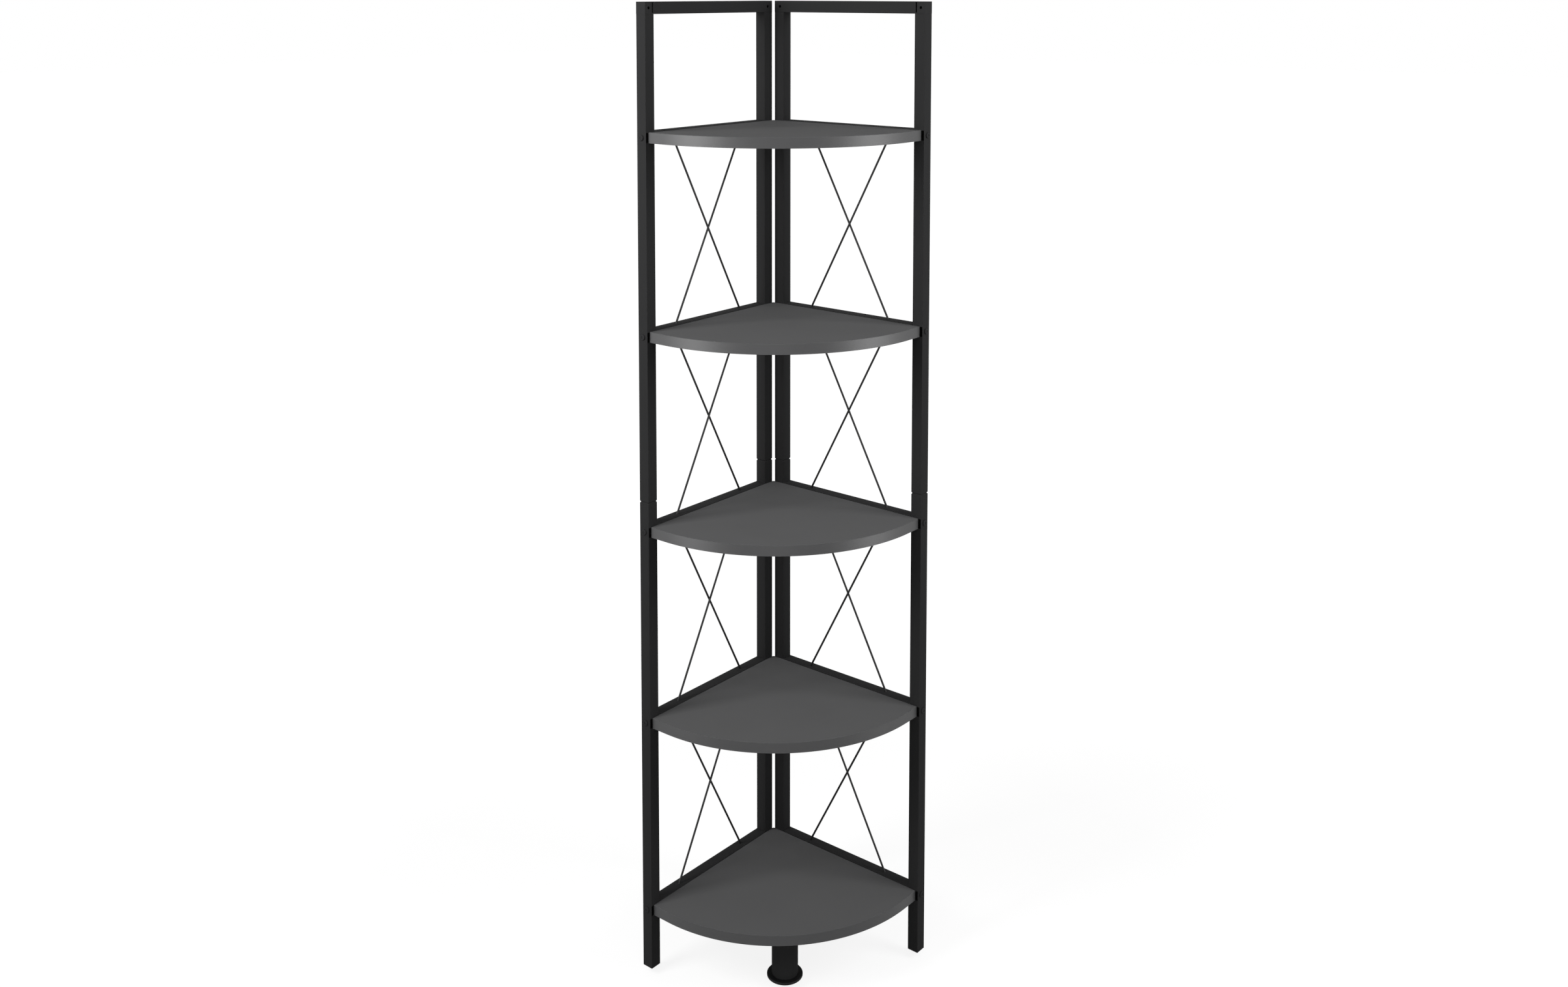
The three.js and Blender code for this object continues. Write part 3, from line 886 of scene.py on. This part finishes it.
# Painted shade: a black strip on each post where the board's tip leaves the post in shadow.
for side in SIDES:
    points = [(strip_run, strip_depth, height) for height in board_middles]
    mesh = grow(strip_tree, f"{side}_buffer_strips", points)
    mesh.transform(frame_planes[side])
    strips = add_piece(mesh.name, outward(mesh), UNIT, [shade_strip_finish])
    print(strips.name, len(points), "strips")

# %% [markdown]
# ## The screws
# Two screws go through each rail into the edge of its board. A driver reaches them through a 9 mm
# hole on the wall side, so their heads sit inside the tube. Four more hold the leg's plate. A
# screw is the bolt again with a cross recess, so the bolt's helpers are used a second time.

# %% The screw's tree
SCREW_INPUTS = {
    "Head Diameter": 7.4 * MM,
    "Head Height": 2.1 * MM,
    "Rim": 0.5 * MM,
    "Flat Diameter": 1.5 * MM,
    "Shank Diameter": 3.9 * MM,
    "Shank Length": 24 * MM,
    "Recess Length": 4.2 * MM,
    "Recess Width": 0.9 * MM,
    "Recess Depth": 1.3 * MM,
    "Seed": 8,
}
SCREW_FACETS = 16
screw_tree = GeometryTree("pan_head_screw", SCREW_INPUTS)


def build_screw(tree):
    span, width = tree.given("Recess Length"), tree.given("Recess Width")
    depth = 2 * tree.given("Recess Depth")
    sizes = (tree.vector(span, width, depth), tree.vector(width, span, depth))
    blades = [tree.node("GeometryNodeMeshCube", None, {"Size": size}) for size in sizes]
    fasten(tree, blades, SCREW_FACETS, math.pi / 2, zinc)


build_screw(screw_tree)
print(screw_tree.group.name, len(screw_tree.group.nodes), "nodes")

# %% Set the board screws and the plate screws
TUBE_WALL = 1.5 * MM
RAIL_START = 43.6 * MM
RAIL_END = 319.7 * MM
SCREW_SHARES = (0.3, 0.7)
screw_runs = [RAIL_START + share * (RAIL_END - RAIL_START) for share in SCREW_SHARES]
inner_wall = TUBE - TUBE_WALL
for side in SIDES:
    points = [(run, height, -inner_wall) for height in bolt_levels for run in screw_runs]
    mesh = grow(screw_tree, f"{side}_board_screws", points)
    mesh.transform(Matrix.Rotation(math.radians(90), 4, "X"))
    mesh.transform(frame_planes[side])
    screws = add_piece(mesh.name, outward(mesh), UNIT, [zinc])
    print(screws.name, len(points), "screws")

PLATE_THICKNESS = 2.5 * MM
PLATE_SCREW_LENGTH = 12 * MM
PLATE_SEED = 5
SCREW_INSET = 7 * MM
plate_low, plate_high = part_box("leg_mounting_plate")
under_plate = plate_high.z - PLATE_THICKNESS
points = []
for x in (plate_low.x + SCREW_INSET, plate_high.x - SCREW_INSET):
    for y in (plate_low.y + SCREW_INSET, plate_high.y - SCREW_INSET):
        points.append((x, -y, -under_plate))
plate_inputs = {"shank_length": PLATE_SCREW_LENGTH, "seed": PLATE_SEED}
mesh = grow(screw_tree, "leg_plate_screws", points, **plate_inputs)
mesh.transform(Matrix.Rotation(math.radians(180), 4, "X"))
plate_screws = add_piece(mesh.name, outward(mesh), UNIT, [zinc])
print(plate_screws.name, len(points), "screws")

# %% [markdown]
# ## The leg and its levelling foot
# The leg's tube, plate and plug are refined like the frame's tubes. The pad is turned from a
# profile, because its rounded rims are most of what the picture shows of it. The stem has a real
# thread. A screw thread is a helix, so a cylinder with many rings is enough: each point moves in
# or out by how far its angle and height are round the pitch. Whole turns are added to that phase
# first, which changes nothing in it and keeps it above zero.

# %% Refine the leg and turn the pad
coated("leg_tube")
coated("leg_mounting_plate")
moulded_copy("leg_end_plug")

PAD_SEGMENTS = 96
PAD_RIM = 1.4 * MM
PAD_HUB_RADIUS = 9 * MM
PAD_FLOOR = 2.2 * MM
PAD_THICKNESS = 4.6 * MM
PAD_ROUND = 0.3 * MM
RIM_STEPS = 8


def rim_arc(centre_radius, centre_height, start, end):
    """Points of (radius, height) along an arc of the pad's rim."""
    steps = [start + (end - start) * step / RIM_STEPS for step in range(RIM_STEPS + 1)]
    return [
        (centre_radius + PAD_RIM * math.cos(angle), centre_height + PAD_RIM * math.sin(angle))
        for angle in steps
    ]


def turned(name, profile, centre, segments):
    """A closed mesh turned about an upright axis from (radius, height) pairs."""
    shape = bmesh.new()
    rings = []
    for radius, height in profile:
        if radius == 0:
            rings.append([shape.verts.new((centre.x, centre.y, height))])
            continue
        ring = []
        for step in range(segments):
            angle = 2 * math.pi * step / segments
            x = centre.x + radius * math.cos(angle)
            ring.append(shape.verts.new((x, centre.y + radius * math.sin(angle), height)))
        rings.append(ring)
    for below, above in zip(rings, rings[1:]):
        for step in range(segments):
            after = (step + 1) % segments
            corners = [below[step % len(below)], below[after % len(below)]]
            corners += [above[after % len(above)], above[step % len(above)]]
            face = list(dict.fromkeys(corners))
            if len(face) > 2:
                shape.faces.new(face)
    mesh = bpy.data.meshes.new(name)
    shape.to_mesh(mesh)
    shape.free()
    return outward(mesh)


pad_low, pad_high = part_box("levelling_foot_pad")
leg_axis = (pad_low + pad_high) / 2
pad_radius = (pad_high.x - pad_low.x) / 2
stem_low, stem_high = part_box("levelling_foot_stem")
stem_radius = (stem_high.x - stem_low.x) / 2
socket_radius = stem_radius + SEAT_GAP
profile = [(0, 0)]
profile += rim_arc(pad_radius - PAD_RIM, PAD_RIM, -math.pi / 2, 0)
profile += rim_arc(pad_radius - PAD_RIM, PAD_THICKNESS - PAD_RIM, 0, math.pi / 2)
profile += [(PAD_HUB_RADIUS, PAD_THICKNESS), (PAD_HUB_RADIUS, pad_high.z)]
profile += [(socket_radius, pad_high.z), (socket_radius, PAD_FLOOR), (0, PAD_FLOOR)]
pad_mesh = turned("levelling_pad", profile, leg_axis, PAD_SEGMENTS)
pad = add_piece("levelling_pad", pad_mesh, FOOT, [plastic])
soften(pad, PAD_ROUND)
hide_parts("levelling_foot_pad")
print(pad.name, "radius", round(pad_radius, 4))

# %% The threaded stem's tree
STEM_INPUTS = {
    "Radius": 4 * MM,
    "Length": 46 * MM,
    "Pitch": 1.25 * MM,
    "Thread Depth": 0.6 * MM,
    "Chamfer": 1 * MM,
    "Rings": 400,
}
STEM_FACETS = 36
WHOLE_TURNS = 1000
stem_tree = GeometryTree("threaded_stem", STEM_INPUTS)


def build_stem(tree):
    radius, length = tree.given("Radius"), tree.given("Length")
    rings = {"Side Segments": tree.given("Rings")}
    rod = tree.cylinder(STEM_FACETS, radius, length, **rings)
    place = tree.node("GeometryNodeInputPosition")
    parts = tree.node("ShaderNodeSeparateXYZ", None, {0: place}, output="Z")
    turn = parts.math("ARCTAN2", parts.other("Y"), parts.other("X")) / (2 * math.pi)
    phase = parts.math("FRACT", parts / tree.given("Pitch") - turn + WHOLE_TURNS)
    groove = parts.math("ABSOLUTE", 2 * phase - 1)
    depth = tree.given("Thread Depth") * groove
    from_end = length / 2 - parts.math("ABSOLUTE", parts)
    chamfer = parts.math("MAXIMUM", tree.given("Chamfer") - from_end, 0.0)
    factor = 1 - parts.math("MAXIMUM", depth, chamfer) / radius
    moved = tree.vector(parts.other("X") * factor, parts.other("Y") * factor, parts)
    threaded = {"Geometry": rod, "Position": moved}
    tree.end(tree.node("GeometryNodeSetPosition", None, threaded), zinc)


build_stem(stem_tree)
mesh = grow(stem_tree, "threaded_stem", radius=stem_radius, length=stem_high.z - stem_low.z)
mesh.transform(Matrix.Translation((stem_low + stem_high) / 2))
stem = add_piece("threaded_stem", outward(mesh), FOOT, [zinc])
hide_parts("levelling_foot_stem")
print(stem.name, len(mesh.polygons), "faces")

# %% [markdown]
# ## The studio
# The picture has a plain white ground. The posts get darker towards the floor, and each board's
# edge band has one bright patch on either side of its middle. So two soft boxes hang high to the
# left and right of the camera's line. A lower one hangs under each. It adds shine on the lower
# bands and no light on the posts. A weak lamp in front and above lights the boards' tops, one
# near the floor lights the leg, and the world fills in a little. The ground is white because the
# camera and glossy rays see it glow. The glow is slightly weaker near the unit, where the lamps
# light the floor too and the shadow falls. The floor lies as far below the unit as the levelling
# foot can reach, so that it never hides the pad. On white ground the difference doesn't show at
# rest.

# %% Floor and world
FLOOR_SIZE = 60.0
FOOT_TRAVEL = 12 * MM
GLOW_NEAR = 0.87
GLOW_STARTS = 0.8
GLOW_FULL = 2.4
FLOOR_COLOUR = (0.6, 0.6, 0.6)
FLOOR_SEEN = (0.18, 0.18, 0.18)
WORLD_ABOVE = (0.28, 0.28, 0.28)
WORLD_BELOW = (0.1, 0.1, 0.1)


def seen_directly(tree):
    """1 for rays from the camera and for reflections, 0 for the light that falls on things."""
    path = tree.node("ShaderNodeLightPath", output="Is Camera Ray")
    shiny = path.math("MAXIMUM", path.other("Is Glossy Ray"), path.other("Is Transmission Ray"))
    return path.math("MAXIMUM", path, shiny)


floor_mesh = bpy.data.meshes.new("studio_floor")
half = FLOOR_SIZE / 2
plan = ((-half, -half), (half, -half), (half, half), (-half, half))
floor_corners = [(x, y, cad_low.z - FOOT_TRAVEL) for x, y in plan]
floor_mesh.from_pydata(floor_corners, [], [(0, 1, 2, 3)])
floor = bpy.data.objects.new("studio_floor", floor_mesh)
bpy.context.collection.objects.link(floor)
floor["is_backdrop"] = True
floor_material = bpy.data.materials.new("white_ground")
floor_material.use_nodes = True
tree = Tree(floor_material.node_tree)
seen = seen_directly(tree)
matt_colour = between(tree, seen, FLOOR_COLOUR, FLOOR_SEEN)
matt = tree.node("ShaderNodeBsdfDiffuse", None, {"Color": matt_colour})
place = tree.node("ShaderNodeTexCoord", output="Object")
parts = tree.node("ShaderNodeSeparateXYZ", None, {0: place}, output="X")
from_unit = (parts * parts + parts.other("Y") * parts.other("Y")).root()
far = ((from_unit - GLOW_STARTS) / (GLOW_FULL - GLOW_STARTS)).clamped()
glow_strength = (GLOW_NEAR + (1 - GLOW_NEAR) * far) * seen
glow = tree.node("ShaderNodeEmission", None, {"Color": (1, 1, 1, 1), "Strength": glow_strength})
ground = tree.node("ShaderNodeAddShader", None, {0: matt, 1: glow})
tree.node("ShaderNodeOutputMaterial", None, {"Surface": ground})
floor_mesh.materials.append(floor_material)

world = bpy.data.worlds.new("studio")
bpy.context.scene.world = world
world.use_nodes = True
tree = Tree(world.node_tree)
direction = tree.node("ShaderNodeTexCoord", output="Generated")
height = tree.node("ShaderNodeSeparateXYZ", None, {0: direction}, output="Z")
sky = between(tree, (0.5 + 0.5 * height).clamped(), WORLD_BELOW, WORLD_ABOVE)
mix = {"data_type": "RGBA"}
picked = {0: seen_directly(tree), 6: sky, 7: (1, 1, 1, 1)}
colour = tree.node("ShaderNodeMix", mix, picked, output=2)
backdrop = tree.node("ShaderNodeBackground", None, {"Color": colour, "Strength": 1.0})
tree.node("ShaderNodeOutputWorld", None, {"Surface": backdrop})
print("floor and world are white to the camera")

# %% Soft boxes
middle = (cad_low + cad_high) / 2
yaw = math.radians(CAMERA_YAW)
to_camera = Vector((math.sin(yaw), -math.cos(yaw), 0))
to_right = Vector((math.cos(yaw), math.sin(yaw), 0))


def soft_box(name, swing, distance, height, size, power, tilt=0, shine_only=False):
    """A rectangular lamp that stands round the unit, faces it and is tilted down.

    The swing counts in degrees from the camera's line. With shine_only the lamp shows in
    reflections and doesn't light matt surfaces.
    """
    angle = math.radians(swing)
    away = to_camera * math.cos(angle) + to_right * math.sin(angle)
    data = bpy.data.lights.new(name, "AREA")
    data.shape = "RECTANGLE"
    data.size, data.size_y = size
    data.energy = power
    lamp = bpy.data.objects.new(name, data)
    lamp.location = Vector((middle.x, middle.y, height)) + away * distance
    facing = away * math.cos(math.radians(tilt)) + UP * math.sin(math.radians(tilt))
    lamp.rotation_euler = facing.to_track_quat("Z", "Y").to_euler()
    lamp.visible_camera = False
    lamp.visible_diffuse = not shine_only
    bpy.context.collection.objects.link(lamp)
    return lamp


LEFT_STAND = (-58, 1.8)
RIGHT_STAND = (68, 1.8)
lamps = [
    soft_box("left_soft_box", *LEFT_STAND, 2.0, (0.8, 1.4), 53),
    soft_box("left_low_soft_box", *LEFT_STAND, 0.7, (0.6, 1.2), 22, shine_only=True),
    soft_box("right_soft_box", *RIGHT_STAND, 1.9, (0.8, 1.4), 34),
    soft_box("right_low_soft_box", *RIGHT_STAND, 0.65, (0.7, 1.1), 24, shine_only=True),
    soft_box("front_top_soft_box", 0, 1.5, 2.5, (1.4, 1.0), 8.5, tilt=45),
    soft_box("front_low_soft_box", 0, 2.0, 0.35, (1.2, 0.5), 5),
]
bpy.context.scene.view_settings.view_transform = "Standard"
print("lamps:", [lamp.name for lamp in lamps])

# %% [markdown]
# ## The size
# The dressed unit should stay inside the CAD model's box. How far the shown pieces reach past the
# box's upper corner is printed, in millimetres.

# %% Print the growth
shown_low, shown_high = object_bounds()
grown = [round((high - low) / MM, 3) for low, high in zip(cad_high, shown_high)]
print("grown by:", grown, "mm")
